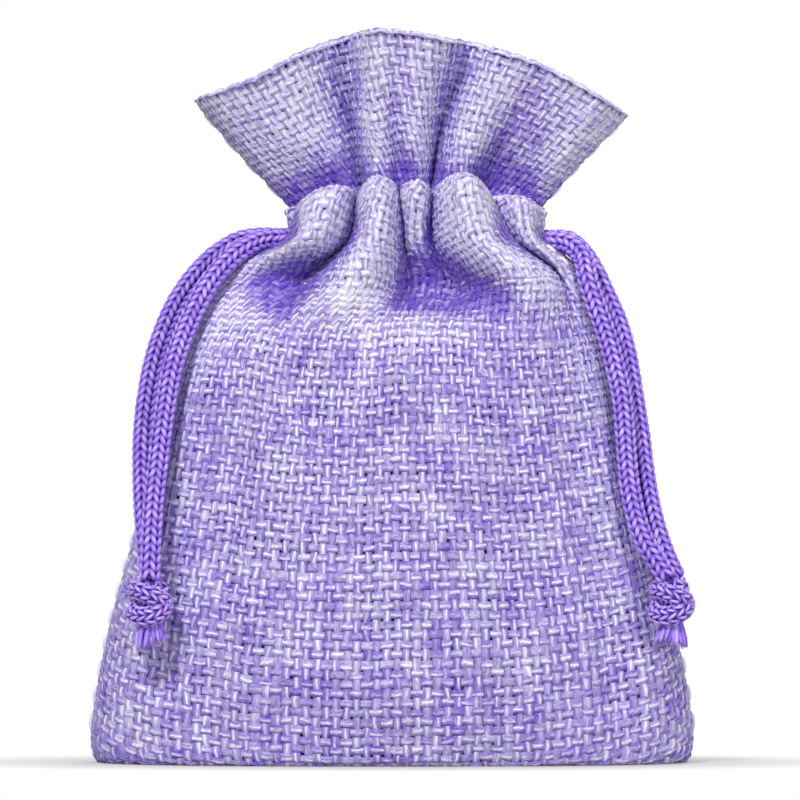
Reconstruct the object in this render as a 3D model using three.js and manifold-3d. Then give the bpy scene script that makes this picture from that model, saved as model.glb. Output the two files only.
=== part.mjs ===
// Lavender sachet: a small filled bag of loosely woven cloth, drawn shut at the neck by two drawstrings.
// Millimetres, +Z up. The front faces -Y, and the bag stands on its flat base at Z = 0.

import * as THREE from 'three';
import { mergeVertices } from 'three/addons/utils/BufferGeometryUtils.js';
import Module from 'manifold-3d';

const wasm = await Module();
wasm.setup();

// Bag, as filled
const baseWidth = 66;
const baseDepth = 19;
const toeHeight = 3.5;
const toeDepth = 23;
const bodyDepth = 26;
const hipHeight = 14;
const hipWidth = 60.4;
const bellyHeight = 26;
const bellyWidth = 56;
const shoulderHeight = 40;
const shoulderWidth = 49;
const shoulderDepth = 24;
const slopeHeight = 47;
const slopeWidth = 44.6;
const slopeDepth = 21;
const cornerRadius = 1.6;

// Gathered neck and ruffle: heights are at the middle, and each droop is how much lower the side edges are
const casingBottom = 51.6;
const casingBottomWidth = 37.5;
const casingBottomDepth = 9.5;
const casingBottomDroop = -2.2;
const neckHeight = 57.2;
const neckWidth = 28.6;
const casingTop = 61.4;
const casingTopDroop = 1.2;
const pinchHeight = 63.4;
const pinchWidth = 28;
const pinchDroop = 2.6;
const topHeight = 80;
const mouthWidth = 47.5;
const mouthDroop = 8.3;
const neckLean = 2.6;
const mouthLean = 2.1;
const foldDepth = 7.6;
const lobeOverhang = 0.42;
const mouthGap = 5.4;

// Cloth, thread and cord
const clothThickness = 0.6;
const hemThickness = 1.1;
const threadDiameter = 0.4;
const cordDiameter = 2.4;
const touchGap = 0.3;

// Drawstrings
const channelSpread = 2.5;
const strandSpread = 1.5;
const feedLength = 5.1;
const knotWidth = 5.4;
const knotHeight = 4.4;
const tasselLength = 2.7;
const tasselWidth = 3.8;

// Fineness of the faceted surfaces
const columnsPerFold = 3;
const rowsPerStation = 2;
const cordSides = 8;
const strandSteps = 18;
const loopSteps = 32;
const threadSides = 4;

// The two drawstrings fill the channel, the strands fill the slits, and hems meet at the pinch
const seamGap = 1.5 * threadDiameter;
const channelDepth = channelSpread + cordDiameter / 2 + touchGap + hemThickness;
const slitGap = strandSpread + cordDiameter / 2 + touchGap;
const pinchDepth = hemThickness + touchGap;
const mouthDepth = hemThickness + mouthGap / 2;

// Levels of the cloth from the bottom seam to the top edge. depth is the distance of the cloth from the
// middle plane between the folds, edge is its distance at the side edges, where the slits are, and
// overhang is the share of a fold's depth by which it rises over the level above
const stations = [
  { rise: 0, half: baseWidth / 2 - cornerRadius, depth: seamGap, thick: clothThickness },
  { rise: 0, half: baseWidth / 2 - cornerRadius / 2, depth: baseDepth / 2, thick: clothThickness },
  { rise: toeHeight, half: baseWidth / 2, depth: toeDepth / 2, thick: clothThickness },
  { rise: hipHeight, half: hipWidth / 2, depth: bodyDepth / 2, thick: clothThickness },
  { rise: bellyHeight, half: bellyWidth / 2, depth: bodyDepth / 2, thick: clothThickness },
  { rise: shoulderHeight, half: shoulderWidth / 2, depth: shoulderDepth / 2, thick: clothThickness },
  {
    rise: slopeHeight, lean: neckLean / 8, half: slopeWidth / 2, depth: slopeDepth / 2,
    thick: clothThickness,
  },
  {
    rise: casingBottom, droop: casingBottomDroop, lean: neckLean / 2, half: casingBottomWidth / 2,
    depth: casingBottomDepth / 2, edge: (seamGap + slitGap) / 2, thick: hemThickness,
  },
  {
    rise: neckHeight, lean: neckLean, half: neckWidth / 2, depth: channelDepth, edge: slitGap,
    thick: hemThickness,
  },
  {
    rise: casingTop, droop: casingTopDroop, lean: neckLean, half: neckWidth / 2, depth: channelDepth,
    edge: slitGap, overhang: lobeOverhang, thick: hemThickness,
  },
  {
    rise: pinchHeight, droop: pinchDroop, lean: neckLean, half: pinchWidth / 2, depth: pinchDepth,
    thick: hemThickness,
  },
  {
    rise: (pinchHeight + topHeight) / 2, droop: (pinchDroop + mouthDroop) / 2, lean: mouthLean,
    half: (pinchWidth + mouthWidth) / 4, depth: (pinchDepth + mouthDepth) / 2, thick: hemThickness,
  },
  {
    rise: topHeight, droop: mouthDroop, lean: mouthLean, half: mouthWidth / 2, depth: mouthDepth,
    thick: hemThickness,
  },
];
const bodyStation = 1;
const lowerRow = 7;
const upperRow = 10.12;
const topStation = stations.length - 1;

// Folds of each panel from seam to seam, crest and valley by turns, at each station from the slope to the
// mouth: places are shares of the panel's half, and heights are shares of the deepest fold
const firstFolded = 6;
const frontFolds = [
  { places: [-1, -1, -1, -1, -1, -1, -1], heights: [0, 0, 0, 0, 0, 0, 0] },
  { places: [-0.85, -0.88, -0.86, -0.74, -0.7, -0.72, -0.75], heights: [0, 0, 0, 0, 0.1, 0.3, 0.45] },
  { places: [-0.6, -0.68, -0.63, -0.43, -0.38, -0.43, -0.4], heights: [0, 0.1, 0.8, 0.6, 0.22, 0.55, 0.85] },
  { places: [-0.4, -0.4, -0.34, -0.3, -0.27, -0.22, -0.19], heights: [0, 0, 0, 0, 0, 0, 0] },
  { places: [-0.2, -0.2, -0.2, -0.19, -0.18, -0.13, -0.1], heights: [0.1, 0.93, 0.95, 0.8, 0.55, 0.75, 0.95] },
  { places: [0, 0, -0.06, -0.08, -0.09, -0.06, -0.02], heights: [0, 0, 0.05, 0.1, 0.3, 0.6, 0.88] },
  { places: [0.08, 0.08, 0, 0, 0, 0.02, 0.06], heights: [0, 0, 0.35, 0.6, 0.45, 0.65, 0.9] },
  { places: [0.2, 0.2, 0.08, 0.08, 0.08, 0.12, 0.18], heights: [0, 0, 0, 0, 0, 0.1, 0.35] },
  { places: [0.55, 0.5, 0.32, 0.24, 0.2, 0.25, 0.3], heights: [0.1, 0.88, 0.95, 0.92, 0.6, 0.65, 0.85] },
  { places: [0.7, 0.7, 0.55, 0.4, 0.32, 0.38, 0.45], heights: [0, 0.05, 0, 0.05, 0.1, 0.42, 0.7] },
  { places: [0.8, 0.78, 0.68, 0.59, 0.6, 0.62, 0.64], heights: [0, 0.35, 0.45, 0.32, 0.12, 0.36, 0.56] },
  { places: [0.88, 0.88, 0.84, 0.8, 0.82, 0.85, 0.88], heights: [0, 0, 0, 0, 0.1, 0.25, 0.35] },
  { places: [1, 1, 1, 1, 1, 1, 1], heights: [0, 0, 0, 0, 0, 0, 0] },
];
const backFolds = [
  { places: [-1, -1, -1, -1, -1, -1, -1], heights: [0, 0, 0, 0, 0, 0, 0] },
  { places: [-0.82, -0.82, -0.8, -0.78, -0.8, -0.85, -0.88], heights: [0, 0, 0, 0, 0.1, 0.2, 0.3] },
  { places: [-0.6, -0.6, -0.6, -0.57, -0.55, -0.6, -0.62], heights: [0, 0.6, 0.7, 0.56, 0.3, 0.4, 0.55] },
  { places: [-0.42, -0.42, -0.42, -0.38, -0.36, -0.34, -0.32], heights: [0, 0, 0, 0, 0, 0.05, 0.1] },
  { places: [-0.3, -0.3, -0.28, -0.26, -0.24, -0.2, -0.16], heights: [0.1, 0.65, 0.85, 0.7, 0.45, 0.6, 0.8] },
  { places: [-0.14, -0.14, -0.14, -0.13, -0.12, -0.08, -0.02], heights: [0, 0, 0.05, 0, 0, 0.1, 0.15] },
  { places: [0.02, 0.02, 0, 0, 0, 0.04, 0.08], heights: [0.1, 0.8, 0.9, 0.76, 0.5, 0.6, 0.8] },
  { places: [0.18, 0.18, 0.16, 0.13, 0.12, 0.16, 0.2], heights: [0, 0.05, 0, 0, 0.1, 0.3, 0.6] },
  { places: [0.33, 0.33, 0.28, 0.25, 0.24, 0.26, 0.28], heights: [0.05, 0.55, 0.75, 0.66, 0.45, 0.5, 0.7] },
  { places: [0.46, 0.46, 0.42, 0.38, 0.36, 0.38, 0.4], heights: [0, 0, 0, 0, 0, 0.05, 0.15] },
  { places: [0.62, 0.6, 0.58, 0.54, 0.55, 0.6, 0.62], heights: [0.05, 0.65, 0.7, 0.5, 0.25, 0.4, 0.5] },
  { places: [0.82, 0.8, 0.78, 0.76, 0.8, 0.85, 0.88], heights: [0, 0, 0, 0, 0.1, 0.2, 0.3] },
  { places: [1, 1, 1, 1, 1, 1, 1], heights: [0, 0, 0, 0, 0, 0, 0] },
];
const front = { side: -1, folds: frontFolds };
const back = { side: 1, folds: backFolds };

// Free strands of the drawstrings, from their slits to their knots
const leftFrontRoute = [
  [-12.2, -1.5, 57.2], [-14.3, -1.8, 57], [-16.6, -2.8, 55.9], [-18.6, -3.7, 54.1], [-20.3, -4.5, 51.8],
  [-21.7, -5.3, 49.1], [-22.9, -6.3, 46.2], [-23.9, -7.4, 43], [-24.5, -8.3, 39.6], [-25, -9.1, 36.1],
  [-25.4, -9.9, 32.6], [-25.8, -10.7, 29.1], [-26, -11.4, 25.9], [-26.1, -11.9, 23], [-26.2, -12.2, 20.4],
];
const leftBackRoute = [
  [-12.2, 1.5, 57.2], [-14.3, 1.4, 57.3], [-16.7, 1.2, 56.9], [-19, 0.8, 55.6], [-21.2, 0.2, 53.5],
  [-23.3, -0.6, 50.6], [-24.8, -1.6, 47.4], [-25.9, -2.8, 44], [-26.6, -4, 40.4], [-27, -5.2, 36.8],
  [-27.1, -6.5, 33.2], [-27, -7.7, 29.6], [-26.8, -8.6, 26.3], [-26.5, -9.3, 23.1], [-26.2, -9.6, 20.4],
];
const rightFrontRoute = [
  [17.1, -1.5, 57], [19.2, -1.8, 56.7], [20.8, -2.9, 55.2], [21.3, -4.5, 52.8], [22.2, -5, 50],
  [23.4, -5.2, 46.6], [24.3, -5.6, 43.3], [25, -6, 40.1], [25.3, -6.6, 36.9], [25.5, -7.3, 33.7],
  [25.8, -8, 30.5], [26.4, -8.7, 27.4], [27.3, -9.3, 24.7], [28.6, -9.8, 22.4], [29.9, -10.15, 20.4],
];
const rightBackRoute = [
  [17.1, 1.5, 57], [19.2, 1.3, 57], [20.7, 0.8, 55.8], [22.1, 0.1, 53.7], [23.3, -0.8, 51.1],
  [24.5, -1.5, 48.4], [25.4, -2.2, 45.4], [26, -2.9, 42.2], [26.5, -3.6, 39], [27, -4.3, 35.7],
  [27.4, -5, 32.4], [27.9, -5.7, 29.2], [28.6, -6.4, 26.1], [29.6, -7.1, 23.1], [30.8, -7.55, 20.4],
];

// Each drawstring: the way it slides out of its slit, and the end and the level of its loop in the channel
const leftCord = {
  name: 'left', pull: [-0.995, 0, -0.1], loopEnd: 4.5, loopLevel: 56.9,
  front: leftFrontRoute, back: leftBackRoute,
};
const rightCord = {
  name: 'right', pull: [0.985, 0, -0.17], loopEnd: 0.5, loopLevel: 59.6,
  front: rightFrontRoute, back: rightBackRoute,
};

// Cubic curve through evenly spaced values
function between(values, place) {
  const last = values.length - 1;
  const start = Math.min(Math.floor(place), last - 1);
  const share = place - start;
  const [before, from, to, after] = [-1, 0, 1, 2].map((step) => {
    return values[Math.min(Math.max(start + step, 0), last)];
  });
  const slopeFrom = (to - before) / 2;
  const slopeTo = (after - from) / 2;
  const square = share * share;
  const cube = square * share;
  return (2 * cube - 3 * square + 1) * from + (cube - 2 * square + share) * slopeFrom
    + (3 * square - 2 * cube) * to + (cube - square) * slopeTo;
}

function stationValue(key, level, usual = 0) {
  return between(stations.map((station) => station[key] ?? usual), level);
}

// Place and height of each crest and valley at a level, fading out below the first folded station
function foldKnots(folds, level) {
  const fadeLength = 0.5;
  const place = Math.max(level - firstFolded, 0);
  const faded = THREE.MathUtils.clamp(1 + (level - firstFolded) / fadeLength, 0, 1);
  return folds.map(({ places, heights }) => {
    const share = Math.max(between(heights, place), 0);
    return { across: between(places, place), height: foldDepth * faded * share };
  });
}

// How far the folds stand out of the cloth, with rounded crests, and with valleys that are sharp below
// the pinch and grow softer up the ruffle
function foldHeight(folds, across, level) {
  const ruffled = THREE.MathUtils.clamp((level - upperRow) / (topStation - upperRow), 0, 1);
  const pinchSoftness = 0.8;
  const ruffleSoftness = 1.6;
  const softness = THREE.MathUtils.lerp(pinchSoftness, ruffleSoftness, ruffled);
  const knots = foldKnots(folds, level);
  const next = Math.max(knots.findIndex((knot) => knot.across >= across), 1);
  const [low, high] = [knots[next - 1], knots[next]].sort((a, b) => a.height - b.height);
  const climb = (across - low.across) / (high.across - low.across);
  return THREE.MathUtils.lerp(low.height, high.height, Math.sin((climb * Math.PI) / 2) ** softness);
}

// Places across the cloth that follow the crests and valleys of its folds
function columnPlaces(folds, level) {
  const knots = foldKnots(folds, level);
  const places = [];
  for (let column = 0; column < (knots.length - 1) * columnsPerFold; column += 1) {
    const knot = Math.floor(column / columnsPerFold);
    const share = (column % columnsPerFold) / columnsPerFold;
    places.push(THREE.MathUtils.lerp(knots[knot].across, knots[knot + 1].across, share));
  }
  return [...places, 1];
}

// A point of the cloth's outer face. across runs from -1 to 1 between the seams, level counts the stations
function clothPoint(panel, across, level, folded = true) {
  const sweep = (across * Math.PI) / 2;
  const roundness = 0.8;
  const bulge = Math.abs(across) < 1 ? Math.cos(sweep) ** roundness : 0;
  const edge = Math.max(stationValue('edge', level, seamGap), seamGap);
  const depth = Math.max(stationValue('depth', level), edge);
  const fold = folded ? foldHeight(panel.folds, across, level) * Math.min(2 * bulge, 1) : 0;
  return new THREE.Vector3(
    stationValue('lean', level) - panel.side * stationValue('half', level) * Math.sin(sweep),
    panel.side * (edge + (depth - edge) * bulge + fold),
    Math.max(stationValue('rise', level) - stationValue('droop', level) * Math.sin(sweep) ** 2, 0)
      + fold * Math.max(stationValue('overhang', level), 0),
  );
}

// Outward direction of the cloth as if it had no folds, straight down or sideways along its edges
function clothNormal(panel, across, level) {
  const step = 0.02;
  const acrossFrom = clothPoint(panel, Math.max(across - step, -1), level, false);
  const acrossTo = clothPoint(panel, Math.min(across + step, 1), level, false);
  const levelFrom = clothPoint(panel, across, Math.max(level - step, 0), false);
  const levelTo = clothPoint(panel, across, Math.min(level + step, topStation), false);
  const normal = acrossTo.sub(acrossFrom).cross(levelTo.sub(levelFrom));
  if (level === 0) normal.set(0, 0, -1);
  if (Math.abs(across) === 1) normal.y = 0;
  return normal.normalize();
}

// Closed solid between two grids of points with the same rows and columns
function gridSolid(outer, inner) {
  const rows = outer.length;
  const wide = outer[0].length;
  const points = [...outer.flat(), ...inner.flat()];
  const innerStart = rows * wide;
  const faces = [];
  const quad = (a, b, c, d) => faces.push(a, b, c, a, c, d);
  for (let row = 0; row < rows - 1; row += 1) {
    for (let column = 0; column < wide - 1; column += 1) {
      const corner = row * wide + column;
      quad(corner, corner + 1, corner + wide + 1, corner + wide);
      const inside = corner + innerStart;
      quad(inside, inside + wide, inside + wide + 1, inside + 1);
    }
    const left = row * wide;
    const right = left + wide - 1;
    quad(left, left + wide, left + wide + innerStart, left + innerStart);
    quad(right, right + innerStart, right + wide + innerStart, right + wide);
  }
  for (let column = 0; column < wide - 1; column += 1) {
    const top = (rows - 1) * wide + column;
    quad(column, column + innerStart, column + 1 + innerStart, column + 1);
    quad(top, top + 1, top + 1 + innerStart, top + innerStart);
  }
  return geometryOf(points, faces);
}

function geometryOf(points, faces) {
  const geometry = new THREE.BufferGeometry();
  const coordinates = points.flatMap((point) => point.toArray());
  geometry.setAttribute('position', new THREE.Float32BufferAttribute(coordinates, 3));
  geometry.setIndex(faces);
  geometry.computeVertexNormals();
  return geometry;
}

// Closed solid through rings of points, from the lowest ring up, each counter-clockwise seen from above
function loft(rings) {
  const around = rings[0].length;
  const points = rings.flat();
  const faces = [];
  for (let ring = 0; ring < rings.length - 1; ring += 1) {
    for (let place = 0; place < around; place += 1) {
      const next = (place + 1) % around;
      const low = ring * around;
      const high = low + around;
      faces.push(low + place, low + next, high + next, low + place, high + next, high + place);
    }
  }
  const top = (rings.length - 1) * around;
  for (let place = 1; place < around - 1; place += 1) {
    faces.push(0, place + 1, place, top, top + place, top + place + 1);
  }
  return geometryOf(points, faces);
}

function panelGeometry(panel) {
  const outer = [];
  const inner = [];
  for (let row = 0; row <= topStation * rowsPerStation; row += 1) {
    const level = row / rowsPerStation;
    const outerRow = [];
    const innerRow = [];
    for (const across of columnPlaces(panel.folds, level)) {
      const point = clothPoint(panel, across, level);
      const normal = clothNormal(panel, across, level);
      const inside = point.clone().addScaledVector(normal, -stationValue('thick', level));
      inside.y = panel.side * Math.max(panel.side * inside.y, touchGap / 2);
      outerRow.push(point);
      innerRow.push(inside);
    }
    outer.push(outerRow);
    inner.push(innerRow);
  }
  return gridSolid(outer, inner);
}

// Round rod through points, with flat ends
function rod(points, diameter, sides, steps) {
  const circle = new THREE.Shape();
  for (let side = 0; side < sides; side += 1) {
    const angle = (2 * Math.PI * side) / sides;
    const method = side === 0 ? 'moveTo' : 'lineTo';
    circle[method]((diameter / 2) * Math.cos(angle), (diameter / 2) * Math.sin(angle));
  }
  const path = new THREE.CatmullRomCurve3(points.map((point) => new THREE.Vector3(...point)));
  return new THREE.ExtrudeGeometry(circle, { steps, bevelEnabled: false, extrudePath: path });
}

// Row of stitches across the outside of a panel, between the slits, that lies on the crests of the folds
function stitchRow(panel, level) {
  const reach = 0.9;
  const stitches = 40;
  const nearby = 0.06;
  const lift = threadDiameter / 2 + touchGap;
  const points = [];
  for (let stitch = 0; stitch <= stitches; stitch += 1) {
    const across = reach * ((2 * stitch) / stitches - 1);
    const point = clothPoint(panel, across, level);
    for (const [step, rise] of [[-1, 0], [-0.5, 0], [0.5, 0], [1, 0], [0, -1], [0, 1]]) {
      const near = clothPoint(panel, across + step * nearby, level + rise * nearby);
      point.y = panel.side * Math.max(Math.abs(point.y), Math.abs(near.y));
    }
    point.y += panel.side * lift;
    points.push(point.toArray());
  }
  return rod(points, threadDiameter, threadSides, stitches);
}

// Seam thread in the groove between the side edges of the panels
function sideSeam(across, fromLevel, toLevel) {
  const steps = 12;
  const points = [];
  for (let step = 0; step <= steps; step += 1) {
    const edge = clothPoint(front, across, THREE.MathUtils.lerp(fromLevel, toLevel, step / steps));
    points.push([edge.x, 0, edge.z]);
  }
  return rod(points, threadDiameter, threadSides, steps);
}

function bottomSeam() {
  const reach = stations[0].half - cornerRadius;
  const height = clothThickness / 2 + touchGap / 2;
  const steps = 4;
  return rod([[-reach, 0, height], [0, 0, height], [reach, 0, height]], threadDiameter, threadSides, steps);
}

// Heap of lavender that fills the body up to the shoulders
function fillingGeometry() {
  const around = 32;
  const clearance = clothThickness + touchGap;
  const sideRoom = 2.5;
  const rings = [];
  const heapTop = lowerRow - 2;
  for (let ring = 0; ring <= 2 * (heapTop - bodyStation); ring += 1) {
    const level = bodyStation + ring / 2;
    const height = Math.max(stationValue('rise', level), clearance);
    rings.push(heapRing(level, height, around, clearance, sideRoom, 1));
  }
  const domeRise = (casingBottom - shoulderHeight) / 2;
  const domeShares = [0.35, 0.7, 0.95];
  for (const share of domeShares) {
    const height = shoulderHeight + domeRise * share;
    rings.push(heapRing(heapTop, height, around, clearance, sideRoom, Math.sqrt(1 - share * share)));
  }
  return loft(rings);
}

function heapRing(level, height, around, clearance, sideRoom, spread) {
  const halfWidth = stationValue('half', level) - sideRoom;
  const halfDepth = stationValue('depth', level) - 2 * clearance;
  const squareness = 0.9;
  const squared = (value) => Math.sign(value) * Math.abs(value) ** squareness;
  const ring = [];
  for (let place = 0; place < around; place += 1) {
    const angle = (2 * Math.PI * place) / around;
    const x = spread * halfWidth * squared(Math.cos(angle));
    ring.push(new THREE.Vector3(x, spread * halfDepth * squared(Math.sin(angle)), height));
  }
  return ring;
}

// Straight length of cord in the mouth of the slit, which slides out when the cord is pulled
function feedEnds(cord, route) {
  const outer = new THREE.Vector3(...route[0]);
  const pull = new THREE.Vector3(...cord.pull).normalize();
  const swingRoom = cordDiameter / 2 + 2 * touchGap;
  outer.addScaledVector(pull, -swingRoom);
  return [outer.clone().addScaledVector(pull, -feedLength), outer];
}

function feedGeometry(cord, route) {
  const [inner, outer] = feedEnds(cord, route);
  const middle = inner.clone().lerp(outer, 0.5);
  const steps = 2;
  return rod([inner, middle, outer].map((point) => point.toArray()), cordDiameter, cordSides, steps);
}

// Loop of cord in the channel: in at the front feed, round the far end and back to the back feed
function loopGeometry(cord) {
  const pull = new THREE.Vector3(...cord.pull).normalize();
  const [frontEnd, backEnd] = [cord.front, cord.back].map((route) => {
    const start = feedEnds(cord, route)[0].addScaledVector(pull, -touchGap);
    return [start, start.clone().addScaledVector(pull, -cordDiameter / 3)];
  });
  const inward = -Math.sign(cord.pull[0]);
  const level = cord.loopLevel;
  const settle = 3.2;
  const runStart = frontEnd[0].x + inward * settle;
  const bend = [-60, -30, 0, 30, 60].map((degrees) => {
    const angle = THREE.MathUtils.degToRad(degrees);
    const reach = inward * channelSpread * Math.cos(angle);
    return [cord.loopEnd + reach, channelSpread * Math.sin(angle), level];
  });
  const runPlaces = [runStart, (runStart + cord.loopEnd) / 2, cord.loopEnd];
  const run = (y) => runPlaces.map((x) => [x, y, level]);
  const straight = (end) => end.map((point) => point.toArray());
  const points = [...straight(frontEnd), ...run(-channelSpread), ...bend, ...run(channelSpread).reverse()];
  return rod([...points, ...straight(backEnd.reverse())], cordDiameter, cordSides, loopSteps);
}

function toManifold(geometry) {
  geometry.deleteAttribute('normal');
  geometry.deleteAttribute('uv');
  const merged = mergeVertices(geometry, 1e-4);
  return new wasm.Manifold(new wasm.Mesh({
    numProp: 3,
    vertProperties: merged.attributes.position.array,
    triVerts: Uint32Array.from(merged.index.array),
  }));
}

function fromManifold(solid) {
  const mesh = solid.getMesh();
  const geometry = new THREE.BufferGeometry();
  geometry.setAttribute('position', new THREE.BufferAttribute(mesh.vertProperties.slice(), 3));
  geometry.setIndex(Array.from(mesh.triVerts));
  return geometry;
}

// Free strand with a rounded upper end, about whose middle it swings at the slit
function strandGeometry(route) {
  const domeShare = 0.9;
  const dome = new THREE.SphereGeometry((domeShare * cordDiameter) / 2, cordSides, cordSides / 2);
  dome.translate(...route[0]);
  return fromManifold(toManifold(rod(route, cordDiameter, cordSides, strandSteps)).add(toManifold(dome)));
}

// Top of a knot, under the ends of its two strands
function knotTop(cord) {
  const ends = [cord.front, cord.back].map((route) => new THREE.Vector3(...route[route.length - 1]));
  const top = ends[0].lerp(ends[1], 0.5);
  top.z -= touchGap;
  return top;
}

// Overhand knot tied in both strands at once: two crossed turns of cord round a core
function knotGeometry(cord) {
  const top = knotTop(cord);
  const turnRadius = (knotWidth - cordDiameter) / 2;
  const turnSteps = 16;
  const core = new THREE.SphereGeometry(knotHeight / 2, turnSteps, turnSteps / 2).rotateX(Math.PI / 2);
  const tilt = THREE.MathUtils.degToRad(28);
  const turns = [tilt, -tilt].map((angle, index) => {
    const turn = new THREE.TorusGeometry(turnRadius, cordDiameter / 2, cordSides, turnSteps);
    const lift = (index - 0.5) * (knotHeight - 2 * cordDiameter + cordDiameter / 2);
    return turn.rotateY(angle).rotateZ(index).translate(0, 0, lift);
  });
  const knot = turns.reduce((solid, turn) => solid.add(toManifold(turn)), toManifold(core));
  return fromManifold(knot.translate([top.x, top.y, top.z - knotHeight / 2]));
}

// Frayed ends below a knot: a brush of cord strands that spreads downwards
function tasselGeometry(cord) {
  const top = knotTop(cord);
  const tufts = 9;
  const fluting = 0.12;
  const highest = top.z - knotHeight - touchGap;
  const ring = (radius, height) => Array.from({ length: 2 * tufts }, (_, place) => {
    const angle = (Math.PI * place) / tufts;
    const reach = radius * (1 + (place % 2 ? -fluting : fluting));
    return new THREE.Vector3(top.x + reach * Math.cos(angle), top.y + reach * Math.sin(angle), height);
  });
  return loft([
    ring(tasselWidth / 2, highest - tasselLength),
    ring((tasselWidth + cordDiameter) / 4, highest - tasselLength / 2),
    ring(cordDiameter / 2, highest),
  ]);
}

const cloth = new THREE.MeshStandardMaterial({ color: 0xb0a6dc, roughness: 0.95, metalness: 0 });
const cordMaterial = new THREE.MeshStandardMaterial({ color: 0x8a66cc, roughness: 0.7, metalness: 0 });
const thread = new THREE.MeshStandardMaterial({ color: 0xe6e0f4, roughness: 0.8, metalness: 0 });
const lavender = new THREE.MeshStandardMaterial({ color: 0x5d4a86, roughness: 1, metalness: 0 });

const sachet = new THREE.Group();

function addPiece(name, geometry, material) {
  const mesh = new THREE.Mesh(geometry, material);
  mesh.name = name;
  sachet.add(mesh);
}

addPiece('front_panel', panelGeometry(front), cloth);
addPiece('back_panel', panelGeometry(back), cloth);
addPiece('lavender_filling', fillingGeometry(), lavender);

addPiece('bottom_seam', bottomSeam(), thread);
const slitBelowRow = 0.8;
const threadEnd = 0.1;
const bodyTop = lowerRow - slitBelowRow;
const ruffleBottom = upperRow + threadEnd;
const ruffleTop = topStation - threadEnd;
for (const [name, across] of [['left', -1], ['right', 1]]) {
  addPiece(`${name}_body_seam`, sideSeam(across, bodyStation + 1, bodyTop), thread);
  addPiece(`${name}_ruffle_seam`, sideSeam(across, ruffleBottom, ruffleTop), thread);
}
for (const [name, panel] of [['front', front], ['back', back]]) {
  addPiece(`${name}_lower_stitching`, stitchRow(panel, lowerRow), thread);
  addPiece(`${name}_upper_stitching`, stitchRow(panel, upperRow), thread);
}

for (const cord of [leftCord, rightCord]) {
  addPiece(`${cord.name}_cord_loop`, loopGeometry(cord), cordMaterial);
  for (const strand of ['front', 'back']) {
    addPiece(`${cord.name}_${strand}_feed`, feedGeometry(cord, cord[strand]), cordMaterial);
    addPiece(`${cord.name}_${strand}_strand`, strandGeometry(cord[strand]), cordMaterial);
  }
  addPiece(`${cord.name}_knot`, knotGeometry(cord), cordMaterial);
  addPiece(`${cord.name}_tassel`, tasselGeometry(cord), cordMaterial);
}

export default sachet;
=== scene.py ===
# Lavender sachet: a filled bag of coarse woven cloth, every yarn modelled, with knitted drawstrings.
# Shapes are worked out in millimetres, in the frame of the solids, and become metres as meshes are made.

import math

import bpy
import numpy as np
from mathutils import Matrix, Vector


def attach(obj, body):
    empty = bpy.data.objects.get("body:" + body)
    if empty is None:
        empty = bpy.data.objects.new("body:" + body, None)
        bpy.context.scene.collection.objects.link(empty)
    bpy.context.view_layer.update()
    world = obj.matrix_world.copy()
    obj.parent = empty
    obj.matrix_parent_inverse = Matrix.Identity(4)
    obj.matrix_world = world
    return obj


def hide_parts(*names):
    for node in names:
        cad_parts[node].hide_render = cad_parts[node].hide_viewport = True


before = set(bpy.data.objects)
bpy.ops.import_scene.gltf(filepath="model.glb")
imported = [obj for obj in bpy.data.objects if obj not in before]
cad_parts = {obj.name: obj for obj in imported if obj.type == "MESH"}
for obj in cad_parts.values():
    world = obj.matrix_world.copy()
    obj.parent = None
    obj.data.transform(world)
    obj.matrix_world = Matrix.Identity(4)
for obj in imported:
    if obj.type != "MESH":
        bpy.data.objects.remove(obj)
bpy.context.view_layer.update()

MM = 0.001
random = np.random.default_rng(9)

# Bag, as filled
base_width = 66
base_depth = 19
toe_height = 3.5
toe_depth = 23
body_depth = 26
hip_height = 14
hip_width = 62.4
belly_height = 26
belly_width = 56
shoulder_height = 40
shoulder_width = 49
shoulder_depth = 24
slope_height = 47
slope_width = 44.6
slope_depth = 21
corner_radius = 1.6

# Gathered neck and ruffle
casing_bottom = 51.6
casing_bottom_width = 38
casing_bottom_depth = 9.5
casing_bottom_droop = -2.2
neck_height = 57.2
neck_width = 28.6
casing_top = 61.4
casing_top_droop = 1.2
pinch_height = 63.4
pinch_width = 28
pinch_droop = 2.6
top_height = 80
mouth_width = 47.5
mouth_droop = 8.3
neck_lean = 2.6
mouth_lean = 2.1
fold_depth = 7.6
lobe_overhang = 0.42
pinch_softness = 0.8
ruffle_softness = 1.6
mouth_gap = 5.4

# Dips of the top edge: places across, as shares of the half, and how far it dips there
mouth_dips = ((-1, -0.85, -0.5, -0.1, 0.1, 1), (-0.5, -0.5, 1.2, 0, 1.1, 1.1))

# Cloth, thread and cord
hem_thickness = 1.1
thread_diameter = 0.4
cord_diameter = 2.4
touch_gap = 0.3
seam_gap = 1.5 * thread_diameter
channel_spread = 2.5
strand_spread = 1.5
feed_length = 5.1
channel_depth = channel_spread + cord_diameter / 2 + touch_gap + hem_thickness
slit_gap = strand_spread + cord_diameter / 2 + touch_gap
pinch_depth = hem_thickness + touch_gap
mouth_depth = hem_thickness + mouth_gap / 2

# One panel before sewing, and its yarns: warps run up the bag and down its hem, wefts across it
warps = 68
weft_pitch = 1.03
yarn_width = 1.25
yarn_thickness = 0.3
yarn_crimp = 0.11
layer_gap = 0.75

# Corners of a yarn's section, in degrees and crown first, and how far its width may vary
yarn_corners = (90, 118, 162, 225, 270, 315, 378, 422)
thinnest_yarn = 0.82
thickest_yarn = 1.2

# Tone of the cloth: paler on the crests of folds, a painted light, and darker in the valleys, a painted
# shade; paler also in the ruffle
crest_height = 0.6
body_roundness = 0.2
crest_painted_light = 0.26
valley_painted_shade = 0.28
ruffle_paleness = 0.35


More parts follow.
